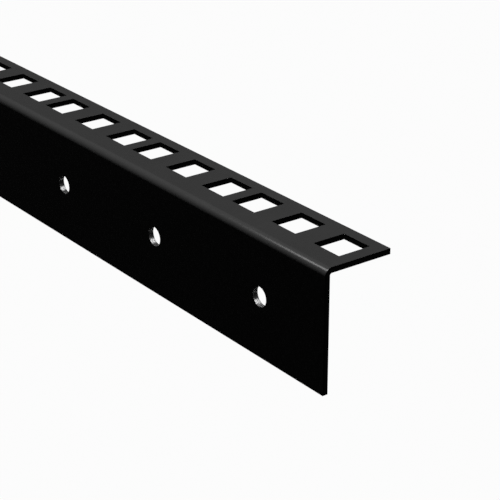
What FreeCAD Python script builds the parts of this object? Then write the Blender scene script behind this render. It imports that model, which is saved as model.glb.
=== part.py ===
"""Rack rail: a steel angle with square holes down its face and round holes down its side.

The angle is one strip of sheet, folded once. Its narrow flange faces the front of the rack and
has three square holes for each rack unit. Its wider leg lies against the side wall of the case
and has one round hole for each rack unit.

The rail is drawn from one end along X, its flange flat on top and its leg hanging down. It is
then leant over as it lies by itself: like a tent, on the free edges of the flange and the leg.
"""

import FreeCAD, Part
import math
import os

import Sketcher

SIZES = [
    ("unit_count", "8", "rack units that the rail is cut for"),
    ("unit_height", "44.45", "height of one rack unit, as racks share it"),
    ("unit_gap", "12.7", "last square hole of a unit to the first of the next, at their centres"),
    ("end_web", "3.65", "steel between the last square hole and the end of the rail"),
    ("flange_width", "19.2", "flange, from the outer face of the leg to its free edge"),
    ("leg_depth", "32", "leg, from the outer face of the flange to its free edge"),
    ("sheet_thickness", "1.5", "thickness of the steel"),
    ("bend_radius", "0.5", "inside radius of the fold"),
    ("square_side", "9.1", "side of a square hole, for a cage nut"),
    ("edge_web", "3.1", "steel between a square hole and the free edge of the flange"),
    ("round_diameter", "5.2", "diameter of a round hole, for a screw through the leg"),
    ("round_drop", "16", "centre of a round hole, below the outer face of the flange"),
]
SQUARES_OF_A_UNIT = 3
HOLE_STEP = f"(sizes.unit_height - sizes.unit_gap) / {SQUARES_OF_A_UNIT - 1}"
RAIL_LENGTH = (
    "sizes.unit_count * sizes.unit_height - sizes.unit_gap"
    " + sizes.square_side + 2 * sizes.end_web"
)
LEAN = (
    "atan((sizes.leg_depth - sizes.sheet_thickness)"
    " / (sizes.flange_width - sizes.sheet_thickness))"
)

# An edge's start, its end, an arc's centre, and the sketch's own origin, in a constraint
START, END, CENTRE = 1, 2, 3
ORIGIN = (-1, START)

doc = FreeCAD.newDocument("RackRail")


def size_sheet():
    """The driving dimensions, in millimetres, each with an alias and a note."""
    sheet = doc.addObject("Spreadsheet::Sheet", "sizes")
    for row, (alias, value, note) in enumerate(SIZES, start=1):
        sheet.set(f"A{row}", note)
        sheet.set(f"B{row}", value)
        sheet.setAlias(f"B{row}", alias)
    doc.recompute()
    return sheet


def origin_part(body, role):
    """A plane or an axis of the body's own origin, found by its role."""
    return next(part for part in body.Origin.OriginFeatures if part.Role == role)


def sketch_on(body, name, role):
    """An empty sketch on a plane of the body's origin."""
    sketch = body.newObject("Sketcher::SketchObject", name)
    sketch.AttachmentSupport = (origin_part(body, role), [""])
    sketch.MapMode = "FlatFace"
    return sketch


def line(sketch, start, end):
    """A straight edge between two points of the sketch."""
    return sketch.addGeometry(
        Part.LineSegment(FreeCAD.Vector(*start, 0), FreeCAD.Vector(*end, 0))
    )


def rule(sketch, *constraint):
    """Add a constraint to the sketch."""
    return sketch.addConstraint(Sketcher.Constraint(*constraint))


def drive(sketch, name, formula, constraint):
    """Add a named constraint to the sketch and drive it by a formula on the sheet."""
    sketch.renameConstraint(rule(sketch, *constraint), name)
    sketch.setExpression(f"Constraints.{name}", formula)


def section_of_angle(body, sizes):
    """The L section. Its outer corner is at the sketch's origin, and its fold is rounded."""
    sketch = sketch_on(body, "Section", "YZ_Plane")
    width, depth = sizes.flange_width, sizes.leg_depth
    steel, inner = sizes.sheet_thickness, sizes.bend_radius
    outer = inner + steel

    def fold(radius):
        centre = FreeCAD.Vector(outer, -outer, 0)
        circle = Part.Circle(centre, FreeCAD.Vector(0, 0, 1), radius)
        return sketch.addGeometry(Part.ArcOfCircle(circle, math.pi / 2, math.pi))

    face = line(sketch, (outer, 0), (width, 0))
    flange_edge = line(sketch, (width, 0), (width, -steel))
    underside = line(sketch, (width, -steel), (outer, -steel))
    inner_fold = fold(inner)
    inside = line(sketch, (steel, -outer), (steel, -depth))
    leg_edge = line(sketch, (steel, -depth), (0, -depth))
    side = line(sketch, (0, -depth), (0, -outer))
    outer_fold = fold(outer)

    rule(sketch, "Coincident", face, END, flange_edge, START)
    rule(sketch, "Coincident", flange_edge, END, underside, START)
    rule(sketch, "Tangent", underside, END, inner_fold, START)
    rule(sketch, "Tangent", inner_fold, END, inside, START)
    rule(sketch, "Coincident", inside, END, leg_edge, START)
    rule(sketch, "Coincident", leg_edge, END, side, START)
    rule(sketch, "Tangent", side, END, outer_fold, END)
    rule(sketch, "Tangent", outer_fold, START, face, START)
    rule(sketch, "Coincident", inner_fold, CENTRE, outer_fold, CENTRE)
    for level in (face, underside, leg_edge):
        rule(sketch, "Horizontal", level)
    for upright in (flange_edge, inside, side):
        rule(sketch, "Vertical", upright)
    rule(sketch, "PointOnObject", face, START, -1)
    rule(sketch, "PointOnObject", side, END, -2)

    across_steel = ("DistanceY", underside, START, face, END, steel)
    drive(sketch, "fold", "sizes.bend_radius", ("Radius", inner_fold, inner))
    drive(sketch, "steel", "sizes.sheet_thickness", across_steel)
    drive(sketch, "width", "sizes.flange_width", ("DistanceX", *ORIGIN, face, END, width))
    drive(sketch, "depth", "sizes.leg_depth", ("DistanceY", side, START, *ORIGIN, depth))
    return sketch


def square(sketch, left, low, side):
    """A square of four edges, all tied to the first, which runs along X and is returned."""
    corners = [(left, low), (left + side, low), (left + side, low + side), (left, low + side)]
    ends = zip(corners, corners[1:] + corners[:1])
    edges = [line(sketch, start, end) for start, end in ends]
    for edge, following in zip(edges, edges[1:] + edges[:1]):
        rule(sketch, "Coincident", edge, END, following, START)
    for along in edges[::2]:
        rule(sketch, "Horizontal", along)
    for across in edges[1::2]:
        rule(sketch, "Vertical", across)
    rule(sketch, "Equal", edges[0], edges[1])
    return edges[0]


def squares_of_unit(body, sizes):
    """The square holes of the rail's first unit, drawn on the outer face of the flange."""
    sketch = sketch_on(body, "SquareHolesOfUnit", "XY_Plane")
    side = sizes.square_side
    low = sizes.flange_width - sizes.edge_web - side
    step = (sizes.unit_height - sizes.unit_gap) / (SQUARES_OF_A_UNIT - 1)
    for number in range(SQUARES_OF_A_UNIT):
        left = sizes.end_web + number * step
        edge = square(sketch, left, low, side)
        drive(
            sketch,
            f"side_{number}",
            "sizes.square_side",
            ("DistanceX", edge, START, edge, END, side),
        )
        drive(
            sketch,
            f"along_{number}",
            f"sizes.end_web + {number} * {HOLE_STEP}",
            ("DistanceX", *ORIGIN, edge, START, left),
        )
        drive(
            sketch,
            f"across_{number}",
            "sizes.flange_width - sizes.edge_web - sizes.square_side",
            ("DistanceY", *ORIGIN, edge, START, low),
        )
    return sketch


def round_of_unit(body, sizes):
    """The round hole of the first unit, on the leg, in line with the middle of its squares."""
    sketch = sketch_on(body, "RoundHoleOfUnit", "XZ_Plane")
    span = sizes.unit_height - sizes.unit_gap + sizes.square_side
    along = sizes.end_web + span / 2
    drop, diameter = sizes.round_drop, sizes.round_diameter
    centre = FreeCAD.Vector(along, -drop, 0)
    hole = sketch.addGeometry(Part.Circle(centre, FreeCAD.Vector(0, 0, 1), diameter / 2))
    drive(sketch, "diameter", "sizes.round_diameter", ("Diameter", hole, diameter))
    drive(
        sketch,
        "along",
        "sizes.end_web + (sizes.unit_height - sizes.unit_gap + sizes.square_side) / 2",
        ("DistanceX", *ORIGIN, hole, CENTRE, along),
    )
    drive(sketch, "drop", "sizes.round_drop", ("DistanceY", hole, CENTRE, *ORIGIN, drop))
    return sketch


def punch(body, sketch, name):
    """Cut a sketch's holes through the steel and repeat them for every unit of the rail."""
    holes = body.newObject("PartDesign::Pocket", name)
    holes.Profile = sketch
    holes.Type = "Length"
    holes.setExpression("Length", "sizes.sheet_thickness")
    rows = body.newObject("PartDesign::LinearPattern", f"{name}OfAllUnits")
    rows.Originals = [holes]
    rows.Direction = (origin_part(body, "X_Axis"), [""])
    rows.Mode = "Spacing"
    rows.setExpression("Offset", "sizes.unit_height")
    rows.setExpression("Occurrences", "sizes.unit_count")
    body.Tip = rows
    doc.recompute()


def lie_down(body):
    """Lean the rail on its two free edges, with the middle of its box over the frame's origin."""
    quarter_turn = FreeCAD.Rotation(FreeCAD.Vector(-1, 0, 0), 90)
    body.Placement = FreeCAD.Placement(FreeCAD.Vector(), quarter_turn)
    body.setExpression(".Placement.Rotation.Angle", LEAN)
    body.setExpression(".Placement.Base.x", f"-({RAIL_LENGTH}) / 2")
    body.setExpression(
        ".Placement.Base.y",
        f"(sizes.leg_depth * sin({LEAN}) - sizes.flange_width * cos({LEAN})) / 2",
    )
    body.setExpression(
        ".Placement.Base.z",
        f"sizes.flange_width * sin({LEAN}) + sizes.sheet_thickness * cos({LEAN})",
    )


def rack_rail(sizes):
    """The whole rail: the folded strip, punched and laid down."""
    body = doc.addObject("PartDesign::Body", "RackRail")
    body.Label = "rack_rail"
    strip = body.newObject("PartDesign::Pad", "FoldedStrip")
    strip.Profile = section_of_angle(body, sizes)
    strip.setExpression("Length", RAIL_LENGTH)
    doc.recompute()
    punch(body, squares_of_unit(body, sizes), "SquareHoles")
    punch(body, round_of_unit(body, sizes), "RoundHoles")
    lie_down(body)
    doc.recompute()
    return body


def volume_from(sizes):
    """Volume that the rail should have, worked out from its sizes, in cubic millimetres."""
    outer = sizes.bend_radius + sizes.sheet_thickness
    rounding = (1 - math.pi / 4) * (outer**2 - sizes.bend_radius**2)
    strip_width = sizes.flange_width + sizes.leg_depth - sizes.sheet_thickness
    section = strip_width * sizes.sheet_thickness - rounding
    units = sizes.unit_count * sizes.unit_height - sizes.unit_gap
    length = units + sizes.square_side + 2 * sizes.end_web
    squares = SQUARES_OF_A_UNIT * sizes.square_side**2
    holes = squares + math.pi / 4 * sizes.round_diameter**2
    return section * length - sizes.unit_count * holes * sizes.sheet_thickness


def save(body):
    """Write the body's solid to the parts folder, once every object is sound."""
    for item in doc.Objects:
        if "Invalid" in item.State or "Error" in item.State:
            raise RuntimeError(f"{item.Label} did not compute: {item.State}")
    shape = body.Shape
    if shape.isNull() or not shape.isValid() or len(shape.Solids) != 1:
        raise RuntimeError(f"{body.Label} is not one sound solid")
    os.makedirs("parts", exist_ok=True)
    shape.exportStep(f"parts/{body.Label}.step")


sizes = size_sheet()
rail = rack_rail(sizes)
print(f"{rail.Label}: {rail.Shape.Volume:.1f} mm3, by its sizes {volume_from(sizes):.1f} mm3")
save(rail)
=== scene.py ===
"""A black powder-coated rack rail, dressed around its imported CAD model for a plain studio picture.

The rail is drawn standing, in millimetres: it runs along X, its flange is level on top and its leg
hangs down in front. RackRail.lying() then lays it down as the CAD model lies, in metres.
"""

import logging
import math
from dataclasses import dataclass
from enum import Enum

import bmesh
import bpy
from mathutils import Matrix, Vector


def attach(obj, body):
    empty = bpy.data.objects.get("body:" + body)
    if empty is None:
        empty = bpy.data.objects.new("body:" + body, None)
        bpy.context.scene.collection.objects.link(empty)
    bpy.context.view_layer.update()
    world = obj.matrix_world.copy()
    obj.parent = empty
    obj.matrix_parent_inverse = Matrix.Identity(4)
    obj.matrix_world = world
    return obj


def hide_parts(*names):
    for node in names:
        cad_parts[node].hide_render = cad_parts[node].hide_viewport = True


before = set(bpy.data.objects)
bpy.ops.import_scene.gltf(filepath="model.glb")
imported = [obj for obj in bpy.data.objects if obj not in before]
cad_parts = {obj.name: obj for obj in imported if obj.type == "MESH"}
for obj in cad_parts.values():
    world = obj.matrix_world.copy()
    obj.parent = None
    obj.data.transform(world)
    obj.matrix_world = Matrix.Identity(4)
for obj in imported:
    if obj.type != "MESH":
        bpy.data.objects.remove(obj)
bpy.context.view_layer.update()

LOG = logging.getLogger("rack_rail")
MM = 0.001  # a millimetre in metres
SHEET = "sheet"  # the attribute that holds each point's place on the flat strip
COAT_IOR = 1.5  # of polyester powder coat
NOISE_LOW, NOISE_HIGH = 0.3, 0.7  # a noise texture seldom leaves this range
SQUARES_OF_A_UNIT = 3  # square holes to each rack unit
TOUCH = 0.0001  # mm within which two places are the same
NEAR = 0.1  # mm within which a face's middle is taken to be on a hole's centre
QUAD = 4  # corners of a plain face
RIM_ANGLE = math.radians(50)  # a corner sharper than this is a rim, which the coat eases
SMOOTH_ANGLE = math.radians(40)  # flats that meet at less than this look like one curve


def linear(colour: str) -> tuple[float, float, float, float]:
    """Turns an sRGB hex colour into the linear colour that Blender's sockets take.

    The numbers in it are those of the sRGB standard.

    Args:
        colour: six hex digits, such as "292929".

    Returns:
        Red, green, blue and an alpha of 1.
    """
    shares = [int(colour[i : i + 2], 16) / 255 for i in (0, 2, 4)]
    return (*(s / 12.92 if s <= 0.04045 else ((s + 0.055) / 1.055) ** 2.4 for s in shares), 1.0)


def add_node(
    tree: bpy.types.NodeTree,
    kind: str,
    inputs: dict[str | int, object] | None = None,
    **settings: object,
) -> bpy.types.Node:
    """Adds a node with its settings, and sets or links its inputs.

    Args:
        tree: the node tree that the node goes into.
        kind: the node's type name.
        inputs: a value, or the socket to link from, for each input's name or number.
        settings: the node's own properties.

    Returns:
        The new node.
    """
    node = tree.nodes.new(kind)
    for name, value in settings.items():
        setattr(node, name, value)
    for key, value in (inputs or {}).items():
        if isinstance(value, bpy.types.NodeSocket):
            tree.links.new(value, node.inputs[key])
        else:
            node.inputs[key].default_value = value
    return node


def empty_tree(owner: bpy.types.Material | bpy.types.World) -> bpy.types.NodeTree:
    """Switches a material or world to nodes, and clears them.

    Args:
        owner: the material or world.

    Returns:
        Its empty node tree.
    """
    owner.use_nodes = True
    owner.node_tree.nodes.clear()
    return owner.node_tree


class Finish(Enum):
    """The finishes on the rail. Each value is the finish's material slot on the mesh."""

    COATED_FACE = 0
    PUNCHED_WALL = 1
    REAMED_BORE = 2


@dataclass(frozen=True)
class PowderCoat:
    """Satin black polyester powder coat, sprayed dry and baked until it flows.

    It gives the eye a deep black with a soft sheen, broken by orange peel, the shallow ripple that
    the powder leaves as it melts, and by a finer grain of flattened powder.

    Attributes:
        deep: the colour where the coat is thickest.
        thin: the colour where it is a little thinner, and the sheen greys it.
        roughness: the sheen's lowest and highest roughness.
        peel_pitch: from crest to crest of the orange peel, in mm. A real one is 1 to 2.
        peel_height: how high its crests stand, in mm.
        grain_pitch: the size of a flattened grain in mm. A real one is about 0.05, which is too
            fine to show, so it is drawn coarser.
        grain_height: how high a grain stands, in mm.
        cloud_pitch: the size of the slow changes in thickness, in mm.
    """

    deep: str = "292929"
    thin: str = "2f2f2f"
    roughness: tuple[float, float] = (0.22, 0.28)
    peel_pitch: float = 1.4
    peel_height: float = 0.006
    grain_pitch: float = 0.25
    grain_height: float = 0.0008
    cloud_pitch: float = 18.0

    def material(self) -> bpy.types.Material:
        """Makes the material.

        Returns:
            The coat on the rail's faces and its fold.
        """
        material = bpy.data.materials.new("satin_black_polyester_powder_coat")
        tree = empty_tree(material)
        sheet = add_node(tree, "ShaderNodeAttribute", attribute_name=SHEET).outputs["Vector"]
        cloud, peel, grain = (
            add_node(
                tree, "ShaderNodeTexNoise", {"Vector": sheet, "Scale": 1 / pitch, "Detail": detail}
            )
            for pitch, detail in (
                (self.cloud_pitch, 3.0), (self.peel_pitch, 1.0), (self.grain_pitch, 2.0)
            )
        )
        colour = add_node(
            tree,
            "ShaderNodeMix",
            {"Factor": cloud.outputs["Fac"], "A": linear(self.deep), "B": linear(self.thin)},
            data_type="RGBA",
        )
        roughness = add_node(
            tree,
            "ShaderNodeMapRange",
            {"Value": peel.outputs["Fac"], "From Min": NOISE_LOW, "From Max": NOISE_HIGH,
             "To Min": self.roughness[0], "To Max": self.roughness[1]},
        )
        peel_bump = add_node(
            tree,
            "ShaderNodeBump",
            {"Height": peel.outputs["Fac"], "Distance": self.peel_height * MM},
        )
        grain_bump = add_node(
            tree,
            "ShaderNodeBump",
            {"Height": grain.outputs["Fac"], "Distance": self.grain_height * MM,
             "Normal": peel_bump.outputs["Normal"]},
        )
        shader = add_node(
            tree,
            "ShaderNodeBsdfPrincipled",
            {"Base Color": colour.outputs["Result"], "Roughness": roughness.outputs["Result"],
             "Normal": grain_bump.outputs["Normal"], "IOR": COAT_IOR, "Metallic": 0.0},
        )
        add_node(tree, "ShaderNodeOutputMaterial", {"Surface": shader.outputs["BSDF"]})
        return material


@dataclass(frozen=True)
class PunchedWallCoat:
    """The same powder coat where it lies thin on a punched or sheared wall of the sheet.

    It gives the eye a duller black than the faces: a smooth burnished band next to the outer face,
    where the punch rubbed the steel, then a rougher torn band with fine upright scores.

    Attributes:
        colour: the coat's colour.
        burnished: roughness of the rubbed band.
        torn: roughness of the torn band.
        band: how deep the rubbed band reaches, in mm.
        band_wander: how far its lower edge wanders, in mm.
        band_fade: over what depth it turns into the torn one, in mm.
        score_pitch: distance between two scores, in mm.
        score_length: how long a score is, in mm.
        score_height: how deep a score is, in mm.
    """

    colour: str = "0a0a0a"
    burnished: float = 0.26
    torn: float = 0.36
    band: float = 0.5
    band_wander: float = 0.3
    band_fade: float = 0.3
    score_pitch: float = 0.3
    score_length: float = 4.0
    score_height: float = 0.006

    def material(self) -> bpy.types.Material:
        """Makes the material.

        Returns:
            The coat on the ends, the long edges and the walls of the square holes.
        """
        material = bpy.data.materials.new("thin_powder_coat_on_punched_steel")
        tree = empty_tree(material)
        sheet = add_node(tree, "ShaderNodeAttribute", attribute_name=SHEET).outputs["Vector"]
        across, along = 1 / self.score_pitch, 1 / self.score_length
        stretched = add_node(
            tree, "ShaderNodeMapping", {"Vector": sheet, "Scale": (across, across, along)}
        )
        scores = add_node(
            tree,
            "ShaderNodeTexNoise",
            {"Vector": stretched.outputs["Vector"], "Scale": 1.0, "Detail": 2.0},
        )
        depth = add_node(tree, "ShaderNodeSeparateXYZ", {"Vector": sheet})
        wander = add_node(
            tree,
            "ShaderNodeMath",
            {0: scores.outputs["Fac"], 1: self.band_wander, 2: depth.outputs["Z"]},
            operation="MULTIPLY_ADD",
        )
        roughness = add_node(
            tree,
            "ShaderNodeMapRange",
            {"Value": wander.outputs["Value"],
             "From Min": self.band, "From Max": self.band + self.band_fade,
             "To Min": self.burnished, "To Max": self.torn},
        )
        bump = add_node(
            tree,
            "ShaderNodeBump",
            {"Height": scores.outputs["Fac"], "Distance": self.score_height * MM},
        )
        shader = add_node(
            tree,
            "ShaderNodeBsdfPrincipled",
            {"Base Color": linear(self.colour), "Roughness": roughness.outputs["Result"],
             "Normal": bump.outputs["Normal"], "IOR": COAT_IOR, "Metallic": 0.0},
        )
        add_node(tree, "ShaderNodeOutputMaterial", {"Surface": shader.outputs["BSDF"]})
        return material


@dataclass(frozen=True)
class ReamedSteel:
    """Bare mild steel of the round holes, plugged off from the powder and dulled by its oven.

    It gives the eye a grey ring with the reamer's fine turned lines around the bore. The
    lines spread a light along the bore, so it shows as one bright bar from mouth to mouth.

    Attributes:
        bright: the steel's colour on a line's crest.
        dull: its colour in a line's bottom.
        roughness: its roughness.
        spread: how much more the lines spread the light along the bore than around it, up to 1.
        line_pitch: distance between two turned lines, in mm. A real one is about 0.05, which is
            too fine to show, so it is drawn coarser.
        line_change: how many times a line changes in a mm along its turn.
        line_height: how deep a line is, in mm.
    """

    bright: str = "a9a9a9"
    dull: str = "949494"
    roughness: float = 0.44
    spread: float = 1.0
    line_pitch: float = 0.12
    line_change: float = 0.15
    line_height: float = 0.0003

    def material(self, bore_axis: Vector) -> bpy.types.Material:
        """Makes the material.

        Args:
            bore_axis: the direction of the round holes, as the rail lies.

        Returns:
            The bare steel inside the round holes.
        """
        material = bpy.data.materials.new("reamed_mild_steel")
        tree = empty_tree(material)
        sheet = add_node(tree, "ShaderNodeAttribute", attribute_name=SHEET).outputs["Vector"]
        around = add_node(
            tree,
            "ShaderNodeMapping",
            {"Vector": sheet, "Scale": (self.line_change, self.line_change, 1 / self.line_pitch)},
        )
        lines = add_node(
            tree,
            "ShaderNodeTexNoise",
            {"Vector": around.outputs["Vector"], "Scale": 1.0, "Detail": 2.0},
        )
        colour = add_node(
            tree,
            "ShaderNodeMix",
            {"Factor": lines.outputs["Fac"], "A": linear(self.dull), "B": linear(self.bright)},
            data_type="RGBA",
        )
        bump = add_node(
            tree,
            "ShaderNodeBump",
            {"Height": lines.outputs["Fac"], "Distance": self.line_height * MM},
        )
        axis = add_node(
            tree, "ShaderNodeCombineXYZ", {"X": bore_axis.x, "Y": bore_axis.y, "Z": bore_axis.z}
        )
        shader = add_node(
            tree,
            "ShaderNodeBsdfPrincipled",
            {"Base Color": colour.outputs["Result"], "Roughness": self.roughness,
             "Anisotropic": self.spread, "Tangent": axis.outputs["Vector"],
             "Normal": bump.outputs["Normal"], "Metallic": 1.0},
        )
        add_node(tree, "ShaderNodeOutputMaterial", {"Surface": shader.outputs["BSDF"]})
        return material


@dataclass
class RackRail:
    """The rail: one strip of sheet steel, punched, folded once into an angle and powder-coated.

    All sizes are in mm and are those of the CAD model.

    Attributes:
        units: how many rack units long it is.
        unit_height: one rack unit.
        unit_gap: from the last square hole of a unit to the first of the next, centre to centre.
        end_web: steel between an end and the square hole beside it.
        flange_width: width of the flange with the square holes.
        leg_depth: depth of the leg with the round holes.
        thickness: the sheet's thickness.
        inner_radius: the fold's inside radius.
        square_side: side of a square hole.
        edge_web: steel between a square hole and the flange's long edge.
        round_diameter: diameter of a round hole.
        round_drop: from the flange's outer face down to a round hole's centre.
        eased_edge: how far the coat rounds an edge off.
        ease_steps: flats around an eased edge.
        fold_steps: flats around the fold.
        bore_sides: flats around a round hole.
    """

    units: int = 8
    unit_height: float = 44.45
    unit_gap: float = 12.7
    end_web: float = 3.65
    flange_width: float = 19.2
    leg_depth: float = 32.0
    thickness: float = 1.5
    inner_radius: float = 0.5
    square_side: float = 9.1
    edge_web: float = 3.1
    round_diameter: float = 5.2
    round_drop: float = 16.0
    eased_edge: float = 0.06
    ease_steps: int = 3
    fold_steps: int = 12
    bore_sides: int = 48

    @property
    def fold(self) -> float:
        """The fold's outside radius."""
        return self.inner_radius + self.thickness

    @property
    def length(self) -> float:
        """The whole rail's length."""
        return self.units * self.unit_height - self.unit_gap + self.square_side + 2 * self.end_web

    @property
    def hole_step(self) -> float:
        """From one square hole of a unit to the next, centre to centre."""
        return (self.unit_height - self.unit_gap) / (SQUARES_OF_A_UNIT - 1)

    @property
    def square_centres(self) -> list[Vector]:
        """The square holes' centres, three to each unit."""
        first = self.end_web + self.square_side / 2
        across = self.flange_width - self.edge_web - self.square_side / 2
        return [
            Vector((first + unit * self.unit_height + hole * self.hole_step, across, 0))
            for unit in range(self.units)
            for hole in range(SQUARES_OF_A_UNIT)
        ]

    @property
    def round_centres(self) -> list[Vector]:
        """The round holes' centres, each in line with its unit's middle square hole."""
        middles = self.square_centres[SQUARES_OF_A_UNIT // 2::SQUARES_OF_A_UNIT]
        return [Vector((square.x, 0, -self.round_drop)) for square in middles]

    def lying(self) -> Matrix:
        """Works out how the rail lies, leant over on the free edges of its flange and its leg.

        Returns:
            The turn and shift, in mm, from the drawn rail to the CAD model's place.
        """
        lean = math.atan2(self.leg_depth - self.thickness, self.flange_width - self.thickness)
        sine, cosine = math.sin(lean), math.cos(lean)
        shift = Vector((
            -self.length / 2,
            (self.leg_depth * sine - self.flange_width * cosine) / 2,
            self.flange_width * sine + self.thickness * cosine,
        ))
        return Matrix.Translation(shift) @ Matrix.Rotation(-lean, 4, "X")

    def unrolled(self, point: Vector) -> Vector:
        """Finds where a point of the folded rail was on the flat strip.

        Args:
            point: a point of the drawn rail.

        Returns:
            How far it is along the strip, across it, and down into the sheet from its outer face.
        """
        if point.y >= self.fold:
            return Vector((point.x, point.y - self.fold, -point.z))
        if point.z <= -self.fold:
            return Vector((point.x, point.z + self.fold * (1 - math.pi / 2), point.y))
        inward, up = self.fold - point.y, self.fold + point.z
        turned, depth = math.atan2(inward, up), self.fold - math.hypot(inward, up)
        return Vector((point.x, -self.fold * turned, depth))

    def punch_flange(self, rail: bmesh.types.BMesh) -> None:
        """Lays the flange's outer face and punches its square holes.

        Args:
            rail: the empty mesh that the rail is made in.
        """
        bmesh.ops.create_grid(rail, x_segments=1, y_segments=1, size=0.5)
        flat = self.flange_width - self.fold
        bmesh.ops.scale(rail, vec=(self.length, flat, 1), verts=rail.verts)
        bmesh.ops.translate(rail, vec=(self.length / 2, self.fold + flat / 2, 0), verts=rail.verts)
        half = self.square_side / 2
        cuts = [(Vector((c.x + side, 0, 0)), Vector((1, 0, 0)))
                for c in self.square_centres for side in (-half, half)]
        cuts += [(Vector((0, self.square_centres[0].y + side, 0)), Vector((0, 1, 0)))
                 for side in (-half, half)]
        for place, normal in cuts:
            whole = rail.verts[:] + rail.edges[:] + rail.faces[:]
            bmesh.ops.bisect_plane(rail, geom=whole, plane_co=place, plane_no=normal)
        slugs = [face for face in rail.faces
                 if any((face.calc_center_median() - c).length < NEAR for c in self.square_centres)]
        bmesh.ops.delete(rail, geom=slugs, context="FACES")

    def fold_leg(self, rail: bmesh.types.BMesh) -> None:
        """Bends the sheet down over the fold and draws the leg below it.

        The leg is drawn in three lengths. The middle one is as deep as a square hole is wide, so
        that a square patch surrounds each round hole to come.

        Args:
            rail: the mesh with the punched flange.
        """
        border = [e for e in rail.edges if all(abs(v.co.y - self.fold) < TOUCH for v in e.verts)]
        verts = list(dict.fromkeys(v for e in border for v in e.verts))
        turned = bmesh.ops.spin(
            rail, geom=verts + border, cent=(0, self.fold, -self.fold), axis=(1, 0, 0),
            angle=math.pi / 2, steps=self.fold_steps, use_merge=False, use_duplicate=False,
        )
        lowest = [g for g in turned["geom_last"] if isinstance(g, bmesh.types.BMEdge)]
        half = self.square_side / 2
        for level in (-self.round_drop + half, -self.round_drop - half, -self.leg_depth):
            drawn = bmesh.ops.extrude_edge_only(rail, edges=lowest)["geom"]
            lowest = [g for g in drawn if isinstance(g, bmesh.types.BMEdge)]
            verts = [g for g in drawn if isinstance(g, bmesh.types.BMVert)]
            bmesh.ops.translate(rail, vec=(0, 0, level - verts[0].co.z), verts=verts)
        bmesh.ops.recalc_face_normals(rail, faces=rail.faces)

    def bore_leg(self, rail: bmesh.types.BMesh) -> None:
        """Opens the round holes in the leg.

        Each disc keeps its face until it is bridged, because a bare ring lets the bridge twist. The
        faces around a patch get many points in line on one side, so they are cut into sound
        triangles here. Left uncut, some of these would later become triangles with no area. Left to
        the export, some of these would have no area.

        Args:
            rail: the mesh with the flange, the fold and the leg.
        """
        for centre in self.round_centres:
            patch = next(f for f in rail.faces if (f.calc_center_median() - centre).length < NEAR)
            sides = list(patch.edges)
            bmesh.ops.delete(rail, geom=[patch], context="FACES_ONLY")
            cuts = self.bore_sides // len(sides) - 1
            split = bmesh.ops.subdivide_edges(rail, edges=sides, cuts=cuts)
            border = [g for g in split["geom_split"] if isinstance(g, bmesh.types.BMEdge)]
            disc = bmesh.ops.create_circle(
                rail, cap_ends=True, radius=self.round_diameter / 2, segments=self.bore_sides,
                matrix=Matrix.Translation(centre) @ Matrix.Rotation(math.pi / 2, 4, "X"),
            )["verts"]
            border += dict.fromkeys(e for v in disc for e in v.link_edges)
            bmesh.ops.bridge_loops(rail, edges=border)
            slug = [f for f in disc[0].link_faces if len(f.verts) == self.bore_sides]
            bmesh.ops.delete(rail, geom=slug, context="FACES_ONLY")
        crowded = [face for face in rail.faces if len(face.verts) > QUAD]
        bmesh.ops.triangulate(rail, faces=crowded, ngon_method="BEAUTY")

    def thicken(self, rail: bmesh.types.BMesh) -> None:
        """Gives the sheet its thickness, sorts its walls from its faces, and eases its edges.

        Args:
            rail: the mesh of the whole outer face.
        """
        outer = set(rail.verts)
        bmesh.ops.solidify(rail, geom=rail.faces[:], thickness=self.thickness)
        reach = self.round_diameter / 2 + NEAR / 2
        for face in rail.faces:
            if not 0 < sum(v in outer for v in face.verts) < len(face.verts):
                continue
            face.material_index = Finish.PUNCHED_WALL.value
            middle = face.calc_center_median()
            if any(math.hypot(middle.x - c.x, middle.z - c.z) < reach for c in self.round_centres):
                face.material_index = Finish.REAMED_BORE.value
        rail.normal_update()
        rims = [e for e in rail.edges if e.calc_face_angle_signed(0) > RIM_ANGLE]
        eased = bmesh.ops.bevel(
            rail, geom=rims, offset=self.eased_edge, offset_type="OFFSET",
            segments=self.ease_steps, profile=0.5, affect="EDGES", material=-1, clamp_overlap=False,
        )
        for face in eased["faces"]:
            face.material_index = Finish.COATED_FACE.value

    def build(self) -> bpy.types.Object:
        """Makes the finished rail and puts it in the place of its CAD node.

        Returns:
            The dressed rail, riding on the part's one body.
        """
        rail = bmesh.new()
        self.punch_flange(rail)
        self.fold_leg(rail)
        self.bore_leg(rail)
        self.thicken(rail)
        sheet = rail.verts.layers.float_vector.new(SHEET)
        for vert in rail.verts:
            vert[sheet] = self.unrolled(vert.co)
        for face in rail.faces:
            face.smooth = True
        for edge in rail.edges:
            edge.smooth = abs(edge.calc_face_angle_signed(0)) < SMOOTH_ANGLE
        bmesh.ops.transform(rail, matrix=Matrix.Scale(MM, 4) @ self.lying(), verts=rail.verts)
        mesh = bpy.data.meshes.new("rack_rail_angle")
        rail.to_mesh(mesh)
        rail.free()
        bore_axis = self.lying().to_3x3() @ Vector((0, -1, 0))
        for material in (
            PowderCoat().material(), PunchedWallCoat().material(), ReamedSteel().material(bore_axis)
        ):
            mesh.materials.append(material)
        piece = bpy.data.objects.new("rack_rail_angle", mesh)
        bpy.context.scene.collection.objects.link(piece)
        even = piece.modifiers.new("even_flats", "WEIGHTED_NORMAL")
        even.keep_sharp = True
        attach(piece, "root")
        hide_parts("rack_rail")
        return piece


class Role(Enum):
    """What a softbox does: it shows in the rail's sheen, or it lights matt surfaces."""

    SHEEN = "sheen"
    FILL = "fill"


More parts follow.
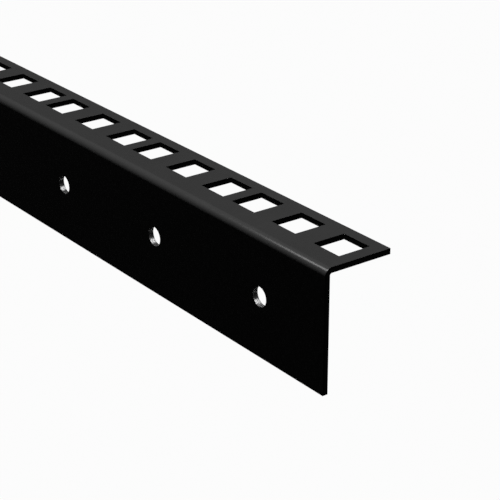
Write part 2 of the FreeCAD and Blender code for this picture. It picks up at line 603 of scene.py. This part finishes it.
@dataclass(frozen=True)
class Softbox:
    """A soft studio light, an evenly bright rectangle that the camera doesn't see.

    Attributes:
        name: the light's name.
        place: where its middle is, in metres.
        aim: the point that it faces, in metres.
        width: its width along the rail, in metres.
        height: its height in metres.
        brightness: its radiance, where 1 is white in the picture.
        role: what it does.
    """

    name: str
    place: tuple[float, float, float]
    aim: tuple[float, float, float]
    width: float
    height: float
    brightness: float
    role: Role

    def build(self) -> bpy.types.Object:
        """Makes the light.

        Returns:
            The light's object.
        """
        light = bpy.data.lights.new(self.name, "AREA")
        light.shape = "RECTANGLE"
        light.size, light.size_y = self.width, self.height
        light.energy = self.brightness * math.pi * self.width * self.height
        box = bpy.data.objects.new(self.name, light)
        back = (Vector(self.place) - Vector(self.aim)).normalized()
        along = (Vector((1, 0, 0)) - back * back.x).normalized()
        turn = Matrix((along, back.cross(along), back)).transposed()
        box.matrix_world = Matrix.Translation(self.place) @ turn.to_4x4()
        box.visible_camera = False
        box.visible_glossy = self.role is Role.SHEEN
        box.visible_diffuse = self.role is Role.FILL
        bpy.context.scene.collection.objects.link(box)
        return box


@dataclass
class Studio:
    """The plain pale room around the rail: its floor, its lights and the camera.

    Attributes:
        backdrop: the pale tone that the camera sees behind the rail.
        floor_half: half the floor's width in metres.
        floor_glow: the share of the floor's brightness that no shadow darkens.
        glow_lift: what makes up for the rest, so that the floor matches the backdrop.
        paper: the tone that the rail mirrors in place of the pale floor, like a dark card under it.
        dome_top: the direction of the dome's brightest part.
        dome_foot: how far round from it, as a cosine, the dome is dark.
        dome_curve: how steeply it brightens in between.
        dome_brightness: its radiance at the brightest part, as the rail mirrors it.
        dome_fill: the little light that it adds from all sides.
        camera_place: the camera's place in mm from the near end of the rail as it is drawn.
        camera_tilt: how far the camera is tilted up from looking straight down, in degrees.
        camera_heading: how far it is turned to the left from looking along Y, in degrees.
        lens: its focal length in mm.
        sensor: its sensor's width in mm.
        sight: how near and how far it sees, in metres.
        softboxes: the lights.
    """

    backdrop: str = "fcfcfc"
    floor_half: float = 12.0
    floor_glow: float = 0.96
    glow_lift: float = 1.04
    paper: str = "1c1c1c"
    dome_top: tuple[float, float, float] = (0.0, 0.6, 0.8)
    dome_foot: float = -0.06
    dome_curve: float = 1.8
    dome_brightness: float = 0.5
    dome_fill: float = 0.008
    camera_place: tuple[float, float, float] = (257.77, -213.25, 153.39)
    camera_tilt: float = 66.003
    camera_heading: float = 53.241
    lens: float = 119.8
    sensor: float = 36.0
    sight: tuple[float, float] = (0.01, 100.0)
    softboxes: tuple[Softbox, ...] = (
        Softbox(
            "key_softbox", place=(0.112, 0.059, 0.102), aim=(0.180, 0.009, 0.016),
            width=0.07, height=0.028, brightness=4.8, role=Role.SHEEN,
        ),
        Softbox(
            "bore_softbox", place=(0.43, 0.475, 0.665), aim=(0.11, 0.0, 0.008),
            width=0.76, height=0.25, brightness=15.7, role=Role.SHEEN,
        ),
        Softbox(
            "top_softbox", place=(-0.35, 1.65, 0.78), aim=(0.10, 0.0, 0.01),
            width=0.8, height=0.3, brightness=83.0, role=Role.FILL,
        ),
    )

    def lay_floor(self) -> bpy.types.Object:
        """Lays the floor: pale to the camera, and a plain matt sheet to the rail.

        Returns:
            The floor's object.
        """
        bm = bmesh.new()
        bmesh.ops.create_grid(bm, x_segments=1, y_segments=1, size=self.floor_half)
        mesh = bpy.data.meshes.new("studio_floor")
        bm.to_mesh(mesh)
        bm.free()
        floor = bpy.data.objects.new("studio_floor", mesh)
        bpy.context.scene.collection.objects.link(floor)
        material = bpy.data.materials.new("matt_studio_paper")
        tree = empty_tree(material)
        pale = linear(self.backdrop)
        path = add_node(tree, "ShaderNodeLightPath")
        glow = add_node(tree, "ShaderNodeEmission", {"Color": pale, "Strength": self.glow_lift})
        paper = add_node(tree, "ShaderNodeBsdfDiffuse", {"Color": linear(self.paper)})
        seen = add_node(
            tree, "ShaderNodeMath", {0: path.outputs["Is Camera Ray"], 1: self.floor_glow},
            operation="MULTIPLY",
        )
        both = add_node(
            tree, "ShaderNodeMixShader",
            {"Fac": seen.outputs["Value"], 1: paper.outputs["BSDF"], 2: glow.outputs["Emission"]},
        )
        add_node(tree, "ShaderNodeOutputMaterial", {"Surface": both.outputs["Shader"]})
        mesh.materials.append(material)
        return floor

    def paint_room(self) -> bpy.types.World:
        """Makes the room: pale behind the rail, and a dim dome in the rail's own reflections.

        Returns:
            The world.
        """
        world = bpy.data.worlds.new("studio_room")
        bpy.context.scene.world = world
        tree = empty_tree(world)
        path = add_node(tree, "ShaderNodeLightPath")
        ray = add_node(tree, "ShaderNodeTexCoord").outputs["Generated"]
        height = add_node(
            tree, "ShaderNodeVectorMath", {0: ray, 1: Vector(self.dome_top).normalized()},
            operation="DOT_PRODUCT",
        )
        rise = add_node(
            tree, "ShaderNodeMapRange",
            {"Value": height.outputs["Value"], "From Min": self.dome_foot, "From Max": 1.0},
        )
        curve = add_node(
            tree, "ShaderNodeMath", {0: rise.outputs["Result"], 1: self.dome_curve},
            operation="POWER",
        )
        sheen = add_node(
            tree, "ShaderNodeMath", {0: curve.outputs["Value"], 1: self.dome_brightness},
            operation="MULTIPLY",
        )
        seen = add_node(
            tree, "ShaderNodeMath",
            {0: sheen.outputs["Value"], 1: path.outputs["Is Glossy Ray"], 2: self.dome_fill},
            operation="MULTIPLY_ADD",
        )
        pale = add_node(
            tree, "ShaderNodeBackground", {"Color": linear(self.backdrop), "Strength": 1.0}
        )
        dome = add_node(
            tree, "ShaderNodeBackground",
            {"Color": linear("ffffff"), "Strength": seen.outputs["Value"]},
        )
        both = add_node(
            tree, "ShaderNodeMixShader",
            {"Fac": path.outputs["Is Camera Ray"],
             1: dome.outputs["Background"], 2: pale.outputs["Background"]},
        )
        world.cycles.sampling_method = "NONE"
        add_node(tree, "ShaderNodeOutputWorld", {"Surface": both.outputs["Shader"]})
        return world

    def place_camera(self, rail: RackRail) -> bpy.types.Object:
        """Puts the camera where the photograph was taken from.

        Args:
            rail: the rail, which gives the turn from the drawn pose to the lying one.

        Returns:
            The camera's object.
        """
        camera = bpy.data.cameras.new("photo_camera")
        camera.lens, camera.sensor_width = self.lens, self.sensor
        camera.clip_start, camera.clip_end = self.sight
        seat = bpy.data.objects.new("photo_camera", camera)
        place = Matrix.Translation(Vector(self.camera_place) + Vector((rail.length, 0, 0)))
        heading = Matrix.Rotation(math.radians(self.camera_heading), 4, "Z")
        tilt = Matrix.Rotation(math.radians(self.camera_tilt), 4, "X")
        leant = rail.lying() @ place @ heading @ tilt
        turn = leant.to_quaternion().to_matrix().to_4x4()
        seat.matrix_world = Matrix.Translation(leant.translation * MM) @ turn
        bpy.context.scene.collection.objects.link(seat)
        bpy.context.scene.camera = seat
        return seat

    def build(self, rail: RackRail) -> None:
        """Makes the floor, the room, the lights and the camera.

        Args:
            rail: the rail that they are set around.
        """
        bpy.context.scene.view_settings.view_transform = "Standard"
        self.place_camera(rail)
        self.lay_floor()
        self.paint_room()
        for softbox in self.softboxes:
            softbox.build()


def main() -> None:
    """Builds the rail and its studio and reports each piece."""
    logging.basicConfig(level=logging.INFO, format="%(name)s: %(message)s")
    rail = RackRail()
    piece = rail.build()
    LOG.info("%s: %d faces, %.1f mm long", piece.name, len(piece.data.polygons), rail.length)
    Studio().build(rail)
    LOG.info("studio: floor, room, lights and camera in place")


if __name__ == "__main__":
    main()
